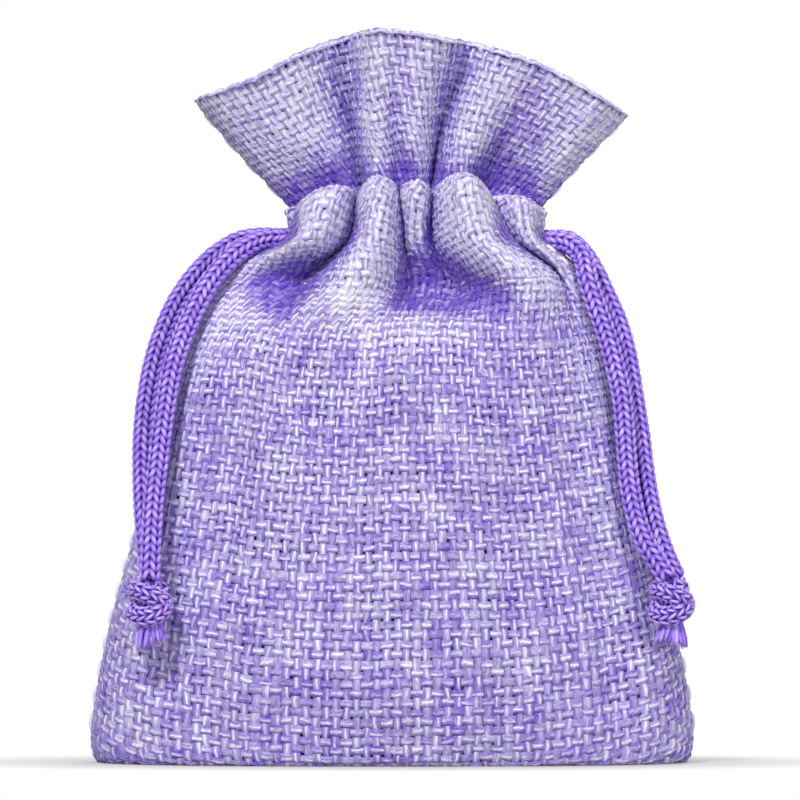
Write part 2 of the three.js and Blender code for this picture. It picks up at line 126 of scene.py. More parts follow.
def station(rise, half, depth, droop=0.0, lean=0.0, edge=seam_gap, overhang=0.0):
    return dict(rise=rise, half=half, depth=depth, droop=droop, lean=lean, edge=edge, overhang=overhang)


stations = [
    station(0, base_width / 2 - corner_radius, seam_gap),
    station(0, base_width / 2 - corner_radius / 2, base_depth / 2),
    station(toe_height, base_width / 2, toe_depth / 2),
    station(hip_height, hip_width / 2, body_depth / 2),
    station(belly_height, belly_width / 2, body_depth / 2),
    station(shoulder_height, shoulder_width / 2, shoulder_depth / 2),
    station(slope_height, slope_width / 2, slope_depth / 2, lean=neck_lean / 8),
    station(
        casing_bottom, casing_bottom_width / 2, casing_bottom_depth / 2, casing_bottom_droop,
        neck_lean / 2, (3 * seam_gap + slit_gap) / 4,
    ),
    station(neck_height, neck_width / 2, channel_depth, 0, neck_lean, slit_gap),
    station(casing_top, neck_width / 2, channel_depth, casing_top_droop, neck_lean, slit_gap, lobe_overhang),
    station(pinch_height, pinch_width / 2, pinch_depth, pinch_droop, neck_lean),
    station(
        (pinch_height + top_height) / 2, (pinch_width + mouth_width) / 4, (pinch_depth + mouth_depth) / 2,
        (pinch_droop + mouth_droop) / 2, mouth_lean,
    ),
    station(top_height, mouth_width / 2, mouth_depth, mouth_droop, mouth_lean),
]

# Places in that list: the first folded station, the rows of stitches and the top edge
first_folded = 6
lower_row = 7
upper_row = 10.12
top_row = len(stations) - 1

# Folds of each panel from seam to seam, crest and valley by turns, at each station from the slope to the
# mouth: places are shares of the panel's half, and heights are shares of the deepest fold
front_folds = [
    ((-1, -1, -1, -1, -1, -1, -1), (0, 0, 0, 0, 0, 0, 0)),
    ((-0.85, -0.88, -0.86, -0.74, -0.7, -0.72, -0.75), (0, 0, 0, 0, 0.1, 0.3, 0.45)),
    ((-0.6, -0.68, -0.63, -0.43, -0.38, -0.43, -0.4), (0, 0.1, 0.8, 0.6, 0.22, 0.55, 0.85)),
    ((-0.4, -0.4, -0.34, -0.3, -0.27, -0.22, -0.19), (0, 0, 0, 0, 0, 0, 0)),
    ((-0.2, -0.2, -0.2, -0.19, -0.18, -0.13, -0.1), (0.1, 0.93, 0.95, 0.8, 0.55, 0.75, 0.95)),
    ((0, 0, -0.06, -0.08, -0.09, -0.06, -0.02), (0, 0, 0.05, 0.1, 0.3, 0.6, 0.88)),
    ((0.08, 0.08, 0, 0, 0, 0.02, 0.06), (0, 0, 0.35, 0.6, 0.45, 0.65, 0.9)),
    ((0.2, 0.2, 0.08, 0.08, 0.08, 0.12, 0.18), (0, 0, 0, 0, 0, 0.1, 0.35)),
    ((0.55, 0.5, 0.32, 0.24, 0.2, 0.25, 0.3), (0.1, 0.88, 0.95, 0.92, 0.6, 0.65, 0.85)),
    ((0.7, 0.7, 0.55, 0.4, 0.32, 0.38, 0.45), (0, 0.05, 0, 0.05, 0.1, 0.42, 0.7)),
    ((0.8, 0.78, 0.68, 0.59, 0.6, 0.62, 0.64), (0, 0.35, 0.45, 0.32, 0.12, 0.36, 0.56)),
    ((0.88, 0.88, 0.84, 0.8, 0.82, 0.85, 0.88), (0, 0, 0, 0, 0.1, 0.25, 0.35)),
    ((1, 1, 1, 1, 1, 1, 1), (0, 0, 0, 0, 0, 0, 0)),
]
back_folds = [
    ((-1, -1, -1, -1, -1, -1, -1), (0, 0, 0, 0, 0, 0, 0)),
    ((-0.82, -0.82, -0.8, -0.78, -0.8, -0.85, -0.88), (0, 0, 0, 0, 0.1, 0.2, 0.3)),
    ((-0.6, -0.6, -0.6, -0.57, -0.55, -0.6, -0.62), (0, 0.6, 0.7, 0.56, 0.3, 0.4, 0.55)),
    ((-0.42, -0.42, -0.42, -0.38, -0.36, -0.34, -0.32), (0, 0, 0, 0, 0, 0.05, 0.1)),
    ((-0.3, -0.3, -0.28, -0.26, -0.24, -0.2, -0.16), (0.1, 0.65, 0.85, 0.7, 0.45, 0.6, 0.8)),
    ((-0.14, -0.14, -0.14, -0.13, -0.12, -0.08, -0.02), (0, 0, 0.05, 0, 0, 0.1, 0.15)),
    ((0.02, 0.02, 0, 0, 0, 0.04, 0.08), (0.1, 0.8, 0.9, 0.76, 0.5, 0.6, 0.8)),
    ((0.18, 0.18, 0.16, 0.13, 0.12, 0.16, 0.2), (0, 0.05, 0, 0, 0.1, 0.3, 0.6)),
    ((0.33, 0.33, 0.28, 0.25, 0.24, 0.26, 0.28), (0.05, 0.55, 0.75, 0.66, 0.45, 0.5, 0.7)),
    ((0.46, 0.46, 0.42, 0.38, 0.36, 0.38, 0.4), (0, 0, 0, 0, 0, 0.05, 0.15)),
    ((0.62, 0.6, 0.58, 0.54, 0.55, 0.6, 0.62), (0.05, 0.65, 0.7, 0.5, 0.25, 0.4, 0.5)),
    ((0.82, 0.8, 0.78, 0.76, 0.8, 0.85, 0.88), (0, 0, 0, 0, 0.1, 0.2, 0.3)),
    ((1, 1, 1, 1, 1, 1, 1), (0, 0, 0, 0, 0, 0, 0)),
]
panels = {"front": (-1, front_folds), "back": (1, back_folds)}

# Free strands of the drawstrings, from their slits to their knots
routes = {
    "left_front": [
        (-12.2, -1.5, 57.2), (-14.3, -1.8, 57), (-16.6, -2.8, 55.9), (-18.6, -3.7, 54.1),
        (-20.3, -4.5, 51.8), (-21.7, -5.3, 49.1), (-22.9, -6.3, 46.2), (-23.9, -7.4, 43),
        (-24.5, -8.3, 39.6), (-25, -9.1, 36.1), (-25.4, -9.9, 32.6), (-25.8, -10.7, 29.1),
        (-26, -11.4, 25.9), (-26.1, -11.9, 23), (-26.2, -12.2, 20.4),
    ],
    "left_back": [
        (-12.2, 1.5, 57.2), (-14.3, 1.4, 57.3), (-16.7, 1.2, 56.9), (-19, 0.8, 55.6),
        (-21.2, 0.2, 53.5), (-23.3, -0.6, 50.6), (-24.8, -1.6, 47.4), (-25.9, -2.8, 44),
        (-26.6, -4, 40.4), (-27, -5.2, 36.8), (-27.1, -6.5, 33.2), (-27, -7.7, 29.6),
        (-26.8, -8.6, 26.3), (-26.5, -9.3, 23.1), (-26.2, -9.6, 20.4),
    ],
    "right_front": [
        (17.1, -1.5, 57), (19.2, -1.8, 56.7), (20.8, -2.9, 55.2), (21.3, -4.5, 52.8),
        (22.2, -5, 50), (23.4, -5.2, 46.6), (24.3, -5.6, 43.3), (25, -6, 40.1),
        (25.3, -6.6, 36.9), (25.5, -7.3, 33.7), (25.8, -8, 30.5), (26.4, -8.7, 27.4),
        (27.3, -9.3, 24.7), (28.6, -9.8, 22.4), (29.9, -10.15, 20.4),
    ],
    "right_back": [
        (17.1, 1.5, 57), (19.2, 1.3, 57), (20.7, 0.8, 55.8), (22.1, 0.1, 53.7),
        (23.3, -0.8, 51.1), (24.5, -1.5, 48.4), (25.4, -2.2, 45.4), (26, -2.9, 42.2),
        (26.5, -3.6, 39), (27, -4.3, 35.7), (27.4, -5, 32.4), (27.9, -5.7, 29.2),
        (28.6, -6.4, 26.1), (29.6, -7.1, 23.1), (30.8, -7.55, 20.4),
    ],
}

# Each drawstring: the way it slides out of its slit, and the end and the level of its loop in the channel
drawstrings = {
    "left": dict(pull=(-0.995, 0, -0.1), loop_end=4.5, loop_level=56.9),
    "right": dict(pull=(0.985, 0, -0.17), loop_end=0.5, loop_level=59.6),
}
knot_height = 4.4
knot_width = 5.4
tassel_length = 2.7


# Camera at the photograph's viewing angle

def make_camera():
    target = Vector((0.87, 0, 39.6)) * MM
    distance = 1.2
    elevation = math.radians(1)
    view_width = 87.4 * MM
    data = bpy.data.cameras.new("camera")
    data.sensor_width = 36
    data.lens = data.sensor_width * distance / view_width
    camera = bpy.data.objects.new("camera", data)
    bpy.context.scene.collection.objects.link(camera)
    camera.location = target + distance * Vector((0, -math.cos(elevation), math.sin(elevation)))
    camera.rotation_euler = (target - camera.location).to_track_quat("-Z", "Y").to_euler()
    bpy.context.scene.camera = camera


# Curves and meshes

def unit(vectors):
    return vectors / np.maximum(np.linalg.norm(vectors, axis=-1, keepdims=True), 1e-9)


def between(values, place):
    """Cubic curve through evenly spaced values, numbers or points."""
    values = np.asarray(values, float)
    place = np.asarray(place, float)
    last = len(values) - 1
    start = np.clip(np.floor(place).astype(int), 0, last - 1)
    share = (place - start).reshape(place.shape + (1,) * (values.ndim - 1))
    before, here, ahead, after = (values[np.clip(start + step, 0, last)] for step in (-1, 0, 1, 2))
    square, cube = share**2, share**3
    return (
        (2 * cube - 3 * square + 1) * here + (cube - 2 * square + share) * (ahead - before) / 2
        + (3 * square - 2 * cube) * ahead + (cube - square) * (after - here) / 2
    )


def even_points(points, count):
    """The polyline's points moved so that count of them lie at even distances."""
    steps = np.linalg.norm(np.diff(points, axis=0), axis=1)
    along = np.concatenate([[0], np.cumsum(steps)])
    places = np.linspace(0, along[-1], count)
    return np.stack([np.interp(places, along, points[:, axis]) for axis in range(3)], axis=1)


def path_length(points):
    return np.linalg.norm(np.diff(points, axis=0), axis=1).sum()


def smooth_path(route, count):
    """Even points along the smooth curve through a route."""
    samples = 20 * len(route)
    fine = between(route, np.linspace(0, len(route) - 1, samples))
    return even_points(fine, count)


def carried_normals(path):
    """A direction square to the path at each point, carried along without twist."""
    tangents = unit(np.gradient(path, axis=0))
    aside = (0.0, 1.0, 0.3)
    normals = [unit(np.cross(tangents[0], aside))]
    for tangent in tangents[1:]:
        normals.append(unit(normals[-1] - tangent * np.dot(normals[-1], tangent)))
    return np.array(normals), tangents


def even_angles(sides):
    return 2 * np.pi * np.arange(sides) / sides + np.pi / 2


def tubes(centres, normals, half_width, half_thickness, angles):
    """Closed tubes along many paths at once: points, faces, and a strip of UV space for each tube."""
    many, rings = centres.shape[:2]
    sides = angles.shape[-1]
    angles = np.broadcast_to(angles, (many, rings, sides))
    tangents = unit(np.gradient(centres, axis=1))
    across = unit(np.cross(tangents, normals))
    up = np.cross(across, tangents)
    points = (
        centres[:, :, None]
        + (half_width[..., None] * np.cos(angles))[..., None] * across[:, :, None]
        + (half_thickness[..., None] * np.sin(angles))[..., None] * up[:, :, None]
    )
    index = np.arange(many * rings * sides).reshape(many, rings, sides)
    turned = np.roll(index, -1, axis=2)
    quads = np.stack([index[:, :-1], turned[:, :-1], turned[:, 1:], index[:, 1:]], axis=-1).reshape(-1, 4)
    caps = np.concatenate([index[:, 0, ::-1], index[:, -1]])
    tube, ring, side = np.meshgrid(np.arange(many), np.arange(rings - 1), np.arange(sides), indexing="ij")
    u = np.stack([ring, ring, ring + 1, ring + 1], axis=-1) / (rings - 1)
    v = (tube[..., None] + np.stack([side, side + 1, side + 1, side], axis=-1) / sides) / many
    quad_uv = np.stack([u, v], axis=-1).reshape(-1, 2)
    cap_tube = np.concatenate([np.arange(many), np.arange(many)])
    cap_u = np.repeat([0.0, 1.0], many)
    cap_uv = np.stack([np.repeat(cap_u, sides), np.repeat((cap_tube + 0.5) / many, sides)], axis=-1)
    return dict(points=points.reshape(-1, 3), quads=quads, caps=caps, uv=np.concatenate([quad_uv, cap_uv]))


def joined(parts):
    """Several sets of tubes as one."""
    starts = np.cumsum([0] + [len(part["points"]) for part in parts[:-1]])
    quad_uv = []
    cap_uv = []
    for number, part in enumerate(parts):
        uv = np.stack([part["uv"][:, 0], (part["uv"][:, 1] + number) / len(parts)], axis=-1)
        quad_corners = 4 * len(part["quads"])
        quad_uv.append(uv[:quad_corners])
        cap_uv.append(uv[quad_corners:])
    kept_keys = set(parts[0]) - {"quads", "caps", "uv"}
    result = {key: np.concatenate([part[key] for part in parts]) for key in kept_keys}
    for key in ("quads", "caps"):
        result[key] = np.concatenate([part[key] + start for part, start in zip(parts, starts)])
    result["uv"] = np.concatenate(quad_uv + cap_uv)
    return result


def mesh_object(name, shape, material, body, slot):
    """A smooth mesh from the points and faces of tubes, riding on a body."""
    quads, caps = shape["quads"], shape["caps"]
    mesh = bpy.data.meshes.new(name)
    mesh.vertices.add(len(shape["points"]))
    mesh.vertices.foreach_set("co", (shape["points"] * MM).astype(np.float32).ravel())
    corners = np.concatenate([quads.ravel(), caps.ravel()])
    totals = np.concatenate([np.full(len(quads), 4), np.full(len(caps), caps.shape[1])])
    mesh.loops.add(len(corners))
    mesh.loops.foreach_set("vertex_index", corners.astype(np.int32))
    mesh.polygons.add(len(totals))
    mesh.polygons.foreach_set("loop_start", (np.cumsum(totals) - totals).astype(np.int32))
    mesh.polygons.foreach_set("loop_total", totals.astype(np.int32))
    mesh.uv_layers.new(name="OFBake").data.foreach_set("uv", shape["uv"].astype(np.float32).ravel())
    for key in set(shape) - {"points", "quads", "caps", "uv"}:
        mesh.attributes.new(key, "FLOAT", "POINT").data.foreach_set("value", shape[key].astype(np.float32))
    mesh.update(calc_edges=True)
    mesh.validate()
    mesh.shade_smooth()
    mesh.materials.append(material)
    thing = bpy.data.objects.new(name, mesh)
    bpy.context.scene.collection.objects.link(thing)
    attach(thing, body)
    return thing


# Materials

def new_material(name, roughness, sheen):
    material = bpy.data.materials.new(name)
    material.use_nodes = True
    tree = material.node_tree
    shader = tree.nodes["Principled BSDF"]
    shader.inputs["Roughness"].default_value = roughness
    shader.inputs["Sheen Weight"].default_value = sheen
    shader.inputs["Sheen Roughness"].default_value = 0.5
    shader.inputs["Specular IOR Level"].default_value = 0.3
    return material, tree, shader


def add_node(tree, kind, links=(), **values):
    """A node with its settings, and its inputs set to numbers or linked to outputs."""
    node = tree.nodes.new(kind)
    for key, value in values.items():
        setattr(node, key, value)
    for socket, value in dict(links).items():
        if isinstance(value, bpy.types.NodeSocket):
            tree.links.new(value, node.inputs[socket])
        else:
            node.inputs[socket].default_value = value
    return node


def srgb(red, green, blue):
    linear = [((c / 255 + 0.055) / 1.055) ** 2.4 if c > 10 else c / 255 / 12.92 for c in (red, green, blue)]
    return (*linear, 1.0)


def ramp(tree, value, stops):
    node = add_node(tree, "ShaderNodeValToRGB", {"Fac": value})
    while len(node.color_ramp.elements) < len(stops):
        node.color_ramp.elements.new(1)
    for element, (place, colour) in zip(node.color_ramp.elements, stops):
        element.position = place
        element.color = colour
    return node.outputs["Color"]


def math_node(tree, operation, first, second, clamp=False):
    links = {0: first, 1: second}
    return add_node(tree, "ShaderNodeMath", links, operation=operation, use_clamp=clamp).outputs[0]


def about_zero(tree, value, strength):
    """A noise between 0 and 1 as a change up and down."""
    return math_node(tree, "MULTIPLY", math_node(tree, "SUBTRACT", value, 0.5), strength)


def blend_colour(tree, factor, first, second, kind="MIX"):
    node = add_node(tree, "ShaderNodeMix", data_type="RGBA", blend_type=kind)
    for socket, value in zip((node.inputs[0], node.inputs[6], node.inputs[7]), (factor, first, second)):
        if isinstance(value, bpy.types.NodeSocket):
            tree.links.new(value, socket)
        else:
            socket.default_value = value
    return node.outputs[2]


def noise(tree, place, scale, detail=2.0, roughness=0.5):
    links = {"Vector": place, "Scale": scale, "Detail": detail, "Roughness": roughness}
    return add_node(tree, "ShaderNodeTexNoise", links).outputs["Fac"]


def attribute(tree, name):
    return add_node(tree, "ShaderNodeAttribute", attribute_name=name).outputs["Fac"]


def streaks(tree, along, across):
    """Fine fibres drawn out along each yarn's strip of UV space."""
    uv = add_node(tree, "ShaderNodeUVMap", uv_map="OFBake").outputs["UV"]
    stretched = add_node(tree, "ShaderNodeMapping", {"Vector": uv, "Scale": (along, across, 1)})
    return noise(tree, stretched.outputs["Vector"], scale=1.0, detail=3.0, roughness=0.6)


def add_bump(tree, shader, height, strength, distance):
    bump = add_node(tree, "ShaderNodeBump", {"Height": height, "Strength": strength, "Distance": distance})
    tree.links.new(bump.outputs["Normal"], shader.inputs["Normal"])


def cloth_material():
    """Heathered yarn, coloured by its lift: a painted highlight where it floats on top, violet on its flanks
    and a painted shade, deep violet, in the gaps.
    """
    material, tree, shader = new_material("cloth", roughness=0.8, sheen=0.15)
    place = add_node(tree, "ShaderNodeTexCoord").outputs["Object"]
    fibres = streaks(tree, along=150, across=1100)
    patches = noise(tree, place, scale=230, detail=3.0, roughness=0.6)
    slubs = streaks(tree, along=26, across=68)
    fuzzy = math_node(tree, "ADD", attribute(tree, "lift"), about_zero(tree, fibres, 1.3))
    level = math_node(tree, "ADD", fuzzy, about_zero(tree, slubs, 0.9), clamp=True)
    # The dark end of these ramps is painted shade in the gaps, the pale end a painted highlight on the floats
    pure = ramp(tree, level, [
        (0.0, srgb(88, 56, 180)), (0.3, srgb(139, 121, 198)), (0.6, srgb(178, 167, 218)),
        (0.85, srgb(216, 209, 240)), (1.0, srgb(242, 238, 253)),
    ])
    greyed = ramp(tree, level, [
        (0.0, srgb(96, 68, 174)), (0.3, srgb(151, 138, 197)), (0.6, srgb(192, 184, 218)),
        (0.85, srgb(224, 219, 240)), (1.0, srgb(244, 241, 253)),
    ])
    heather = ramp(tree, patches, [(0.42, (0, 0, 0, 1)), (0.64, (1, 1, 1, 1))])
    colour = blend_colour(tree, heather, pure, greyed)
    tree.links.new(colour, shader.inputs["Base Color"])
    add_bump(tree, shader, fibres, strength=0.35, distance=0.08 * MM)
    return material


def cord_material():
    """Glossy violet knitting yarn, coloured by its lift: painted highlights on its stitches and painted shade
    where they tuck in, with fine twisted fibres.
    """
    material, tree, shader = new_material("cord", roughness=0.42, sheen=0.2)
    fibres = streaks(tree, along=8, across=2600)
    level = math_node(tree, "ADD", attribute(tree, "lift"), about_zero(tree, fibres, 0.5), clamp=True)
    colour = ramp(tree, level, [
        (0.0, srgb(66, 30, 140)), (0.35, srgb(118, 78, 204)),
        (0.7, srgb(156, 120, 232)), (1.0, srgb(210, 184, 252)),
    ])
    tree.links.new(colour, shader.inputs["Base Color"])
    add_bump(tree, shader, fibres, strength=0.4, distance=0.06 * MM)
    return material


def thread_material():
    """Pale sewing thread with a fine twist."""
    material, tree, shader = new_material("thread", roughness=0.6, sheen=0.1)
    twist = streaks(tree, along=40, across=400)
    colour = ramp(tree, twist, [(0.3, srgb(214, 206, 240)), (0.7, srgb(252, 250, 255))])
    tree.links.new(colour, shader.inputs["Base Color"])
    return material


def lavender_material():
    """Dried buds, violet grey with darker tips."""
    material, tree, shader = new_material("lavender", roughness=0.85, sheen=0.1)
    place = add_node(tree, "ShaderNodeTexCoord").outputs["Object"]
    speckle = noise(tree, place, scale=900)
    colour = ramp(tree, speckle, [
        (0.35, srgb(70, 52, 116)), (0.5, srgb(112, 92, 160)), (0.65, srgb(146, 128, 170)),
    ])
    tree.links.new(colour, shader.inputs["Base Color"])
    return material


# Cloth

def fold_row(folds, across, level):
    """How far the folds stand out along one level: sharp valleys at the neck, soft ones in the ruffle."""
    softness = np.interp(level, (upper_row, top_row), (pinch_softness, ruffle_softness))
    fade_length = 0.5
    station_place = max(level - first_folded, 0)
    faded = np.clip(1 + (level - first_folded) / fade_length, 0, 1)
    place = np.array([between(places, station_place) for places, heights in folds])
    height = np.array([max(between(heights, station_place), 0) for places, heights in folds])
    height = height * fold_depth * faded
    after = np.clip(np.searchsorted(place, across), 1, len(place) - 1)
    share = np.clip((across - place[after - 1]) / (place[after] - place[after - 1]), 0, 1)
    climb = np.where(height[after] >= height[after - 1], share, 1 - share)
    low = np.minimum(height[after - 1], height[after])
    high = np.maximum(height[after - 1], height[after])
    return low + (high - low) * np.sin(np.pi / 2 * climb) ** softness


def cloth_rows(side, folds, across, levels, inset=0.0, fold_share=1.0):
    """Points of the cloth for each level and each place across, set in from the outer face."""
    fullness = 0.8
    edge_sharpness = 3
    value = {key: between([s[key] for s in stations], levels)[:, None] for key in stations[0]}
    heights = np.array([fold_row(folds, across, level) for level in levels]) * fold_share
    sweep = across[None, :] * np.pi / 2
    bulge = np.maximum(np.cos(sweep), 0) ** fullness
    edge = np.maximum(value["edge"], seam_gap)
    depth = np.maximum(value["depth"], edge)
    heights = heights * np.minimum(2 * bulge, 1)
    out = edge + (depth - edge) * bulge + heights - inset
    half = value["half"] - inset * np.abs(np.sin(sweep)) ** edge_sharpness
    x = value["lean"] - side * half * np.sin(sweep)
    y = side * np.maximum(out, inset / 2)
    ruffled = np.clip((levels[:, None] - upper_row) / (top_row - upper_row), 0, 1)
    dip = np.interp(-side * across, *mouth_dips) * ruffled
    z = np.maximum(value["rise"] - value["droop"] * np.sin(sweep) ** 2, 0) - dip
    z = z + inset * np.clip(1 - levels[:, None], 0, 1) + heights * np.maximum(value["overhang"], 0)
    return np.stack([x, y, z], axis=-1)


def even_lattice(rows):
    """Crossing points moved to even distances, first along each row and then up each column."""
    spread = np.stack([even_points(row, warps) for row in rows])
    columns = [spread[:, column] for column in range(warps)]
    wefts = round(np.mean([path_length(column) for column in columns]) / weft_pitch)
    return np.stack([even_points(column, wefts + 1) for column in columns], axis=1)


def panel_lattice(side, folds, heap):
    """Crossing points of warps and wefts, up the outside, over the top edge and down the hem: as gathered,
    and with the body settled on the filling."""
    samples_across = 401
    samples_up = 121
    body_top = 6.3
    hem_inset = yarn_thickness + layer_gap
    hem_fold_share = 0.8
    on_floor = yarn_thickness / 2 + yarn_crimp
    across = np.linspace(-1, 1, samples_across)
    strips = []
    for start, end in ((0, body_top), (body_top, upper_row), (upper_row, top_row)):
        levels = np.linspace(start, end, samples_up)
        lattice = even_lattice(cloth_rows(side, folds, across, levels, yarn_thickness))
        strips.append(lattice if end == top_row else lattice[:-1])
    levels = np.linspace(top_row, lower_row, samples_up)
    strips.append(even_lattice(cloth_rows(side, folds, across, levels, hem_inset, hem_fold_share)))
    gathered = np.concatenate(strips)
    strips[0] = settled(strips[0], heap)
    strips[0][..., 2] = np.maximum(strips[0][..., 2], on_floor)
    return gathered, np.concatenate(strips)


def settled(lattice, heap):
    """The body of a panel laid on the filling by a short cloth simulation, held at its seams and neck."""
    scene = bpy.context.scene
    enlarged = 20 * MM
    frames = 14
    furthest = 1.2
    rows, columns = lattice.shape[:2]
    index = np.arange(rows * columns).reshape(rows, columns)
    corners = [index[:-1, :-1], index[:-1, 1:], index[1:, 1:], index[1:, :-1]]
    quads = np.stack(corners, axis=-1).reshape(-1, 4)
    cloth = plain_object("settling cloth", lattice.reshape(-1, 3) * enlarged, quads)
    support = plain_object("settling filling", heap["points"] * enlarged, heap["quads"])
    support.modifiers.new("support", "COLLISION")
    support.collision.thickness_outer = 0.5 * enlarged
    held = held_share(rows, columns)
    group = cloth.vertex_groups.new(name="held")
    for number, weight in enumerate(held.ravel()):
        group.add([number], float(weight), "REPLACE")
    modifier = cloth.modifiers.new("cloth", "CLOTH")
    settings = modifier.settings
    settings.vertex_group_mass = group.name
    settings.quality = 6
    settings.mass = 0.2
    settings.tension_stiffness = 25
    settings.compression_stiffness = 25
    settings.bending_stiffness = 3
    settings.air_damping = 3
    settings.use_pressure = True
    settings.uniform_pressure_force = -0.6
    modifier.collision_settings.distance_min = 0.1 * enlarged
    modifier.point_cache.frame_end = frames
    for moment in range(1, frames + 1):
        scene.frame_set(moment)
    shaped = cloth.evaluated_get(bpy.context.evaluated_depsgraph_get()).data
    points = np.empty(3 * rows * columns, np.float32)
    shaped.vertices.foreach_get("co", points)
    moved = points.reshape(lattice.shape) / enlarged - lattice
    far = np.linalg.norm(moved, axis=-1, keepdims=True)
    for helper in (cloth, support):
        bpy.data.objects.remove(helper, do_unlink=True)
    scene.frame_set(1)
    return lattice + moved * np.minimum(1, furthest / np.maximum(far, 1e-6)) * (1 - held[..., None])


def held_share(rows, columns):
    """How firmly each crossing of a panel's body is held: 1 at its seams, base and neck, 0 away from them."""
    seam_columns = 4
    neck_rows = 10
    base_rows = 6
    from_seam = np.minimum(np.arange(columns), np.arange(columns)[::-1])[None, :] / seam_columns
    from_neck = (rows - 1 - np.arange(rows))[:, None] / neck_rows
    from_base = np.arange(rows)[:, None] / base_rows
    return 1 - np.clip(np.minimum(np.minimum(from_neck, from_base), from_seam), 0, 1)


def plain_object(name, points, quads):
    mesh = bpy.data.meshes.new(name)
    mesh.from_pydata(points.tolist(), [], quads.tolist())
    thing = bpy.data.objects.new(name, mesh)
    bpy.context.scene.collection.objects.link(thing)
    return thing


def cloth_normals(lattice):
    return unit(np.cross(np.gradient(lattice, axis=1), np.gradient(lattice, axis=0)))


def blurred(grid, reach):
    """Mean of each point's neighbours, as far as reach to each side."""
    width = 2 * reach + 1
    for axis in (0, 1):
        margin = [(reach, reach) if number == axis else (0, 0) for number in range(grid.ndim)]
        padded = np.pad(grid, margin, mode="reflect", reflect_type="odd")
        size = grid.shape[axis]
        grid = sum(np.take(padded, range(k, k + size), axis=axis) for k in range(width)) / width
    return grid


def slow_noise(many, places, spacing):
    """Smooth random values along each of many yarns."""
    knots = random.normal(size=(int(places[-1] / spacing) + 2, many))
    return between(knots, places / spacing).T


def yarn_set(lattice, normals, over, spacing, crest):
    """Yarns along the second axis of a lattice, over or under at each crossing."""
    many, crossings = lattice.shape[:2]
    places = np.linspace(0, crossings - 1, 2 * crossings - 1)
    lower = np.clip(np.floor(places).astype(int), 0, crossings - 2)
    share = places - lower

    def mixed(values):
        weight = share.reshape((1, -1) + (1,) * (values.ndim - 2))
        return values[:, lower] * (1 - weight) + values[:, lower + 1] * weight

    rise = mixed(over)
    up = unit(mixed(normals))
    middle = mixed(lattice)
    sideways = unit(np.cross(unit(np.gradient(middle, axis=1)), up))
    wander = 0.06 * slow_noise(many, places, spacing=4)
    slub = 0.99 + 0.1 * slow_noise(many, places, spacing=5) + random.normal(0, 0.05, (many, 1))
    centres = middle + up * (rise * yarn_crimp)[..., None] + sideways * wander[..., None]
    flattened = 0.98 + 0.06 * np.abs(rise)
    slub = np.clip(slub, thinnest_yarn, thickest_yarn)
    half_width = np.minimum(yarn_width, mixed(spacing)) / 2 * slub * flattened
    half_thickness = np.full_like(half_width, yarn_thickness / 2)
    twist = 14 * slow_noise(many, places, spacing=2)
    angles = np.radians(np.array(yarn_corners) + twist[..., None])
    shape = tubes(centres, up, half_width, half_thickness, angles)

    # Tone, with painted light and shade: floats are pale along their crown, a painted highlight with some
    # pale flecks of the yarn's own, more so on the crests of folds (painted light); yarns where they dive
    # under, the undersides of yarns and the valleys of folds are darker (painted shade)
    flecks = mixed(random.normal(0, 0.42, over.shape)) + 0.2 * slow_noise(many, places, spacing=9)
    bold = np.clip(0.7 + flecks + 0.7 * mixed(crest), 0.1, 1.5)
    tone = random.normal(0, 0.03, (many, 1)) + 0.07 * slow_noise(many, places, spacing=3)
    ground = 0.24 + 0.06 * rise + tone + mixed(np.where(crest > 0, crest_painted_light, valley_painted_shade) * crest)
    crown = np.sin(angles)
    on_crown = np.arange(len(yarn_corners)) == 0
    floating = np.clip(1 + rise, 0, 1)
    lift = ground[..., None] + 0.1 * crown + (0.66 * floating * bold)[..., None] * on_crown
    shape["lift"] = np.clip(lift, 0, 1).ravel()
    return shape


def weave(gathered, lattice):
    """Warps and wefts of a panel as two sets of tubes."""
    normals = cloth_normals(lattice)
    rows, columns = lattice.shape[:2]
    warp_over = 1.0 - 2.0 * ((np.arange(rows)[:, None] + np.arange(columns)[None, :]) % 2)
    across_gap = np.linalg.norm(np.gradient(lattice, axis=1), axis=-1)
    up_gap = np.linalg.norm(np.gradient(lattice, axis=0), axis=-1)
    crest = fold_crests(gathered)
    turn = lambda values: np.swapaxes(values, 0, 1)
    warp = yarn_set(turn(lattice), turn(normals), turn(warp_over), turn(across_gap), turn(crest))
    weft = yarn_set(lattice, normals, -warp_over, up_gap, crest)
    return warp, weft


def fold_crests(gathered):
    """How far each crossing lies on a crest (above 0) or in a valley (below 0) of the neck and ruffle, plus
    the ruffle's paleness: the measure for the painted light on crests and the painted shade in valleys.
    """
    height = gathered[..., 2]
    neighbours = 6
    stand_out = np.sum((gathered - blurred(gathered, neighbours)) * cloth_normals(gathered), axis=-1)
    folded = np.interp(height, (shoulder_height, casing_bottom, pinch_height, top_height), (0, 1, 1, 0.3))
    ruffle_start = (pinch_height, pinch_height + 5)
    paler = np.interp(height, ruffle_start, (0, ruffle_paleness))
    return np.clip((stand_out - body_roundness) / crest_height, -1, 1.2) * folded + paler


def make_panel(name, material, heap):
    side, folds = panels[name]
    gathered, lattice = panel_lattice(side, folds, heap)
    warp, weft = weave(gathered, lattice)
    warp_piece = mesh_object(f"{name}_warp_yarns", warp, material, "bag", "cloth")
    weft_piece = mesh_object(f"{name}_weft_yarns", weft, material, "bag", "cloth")
    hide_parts(f"{name}_panel")
    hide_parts(f"{name}_panel")


# Stitches

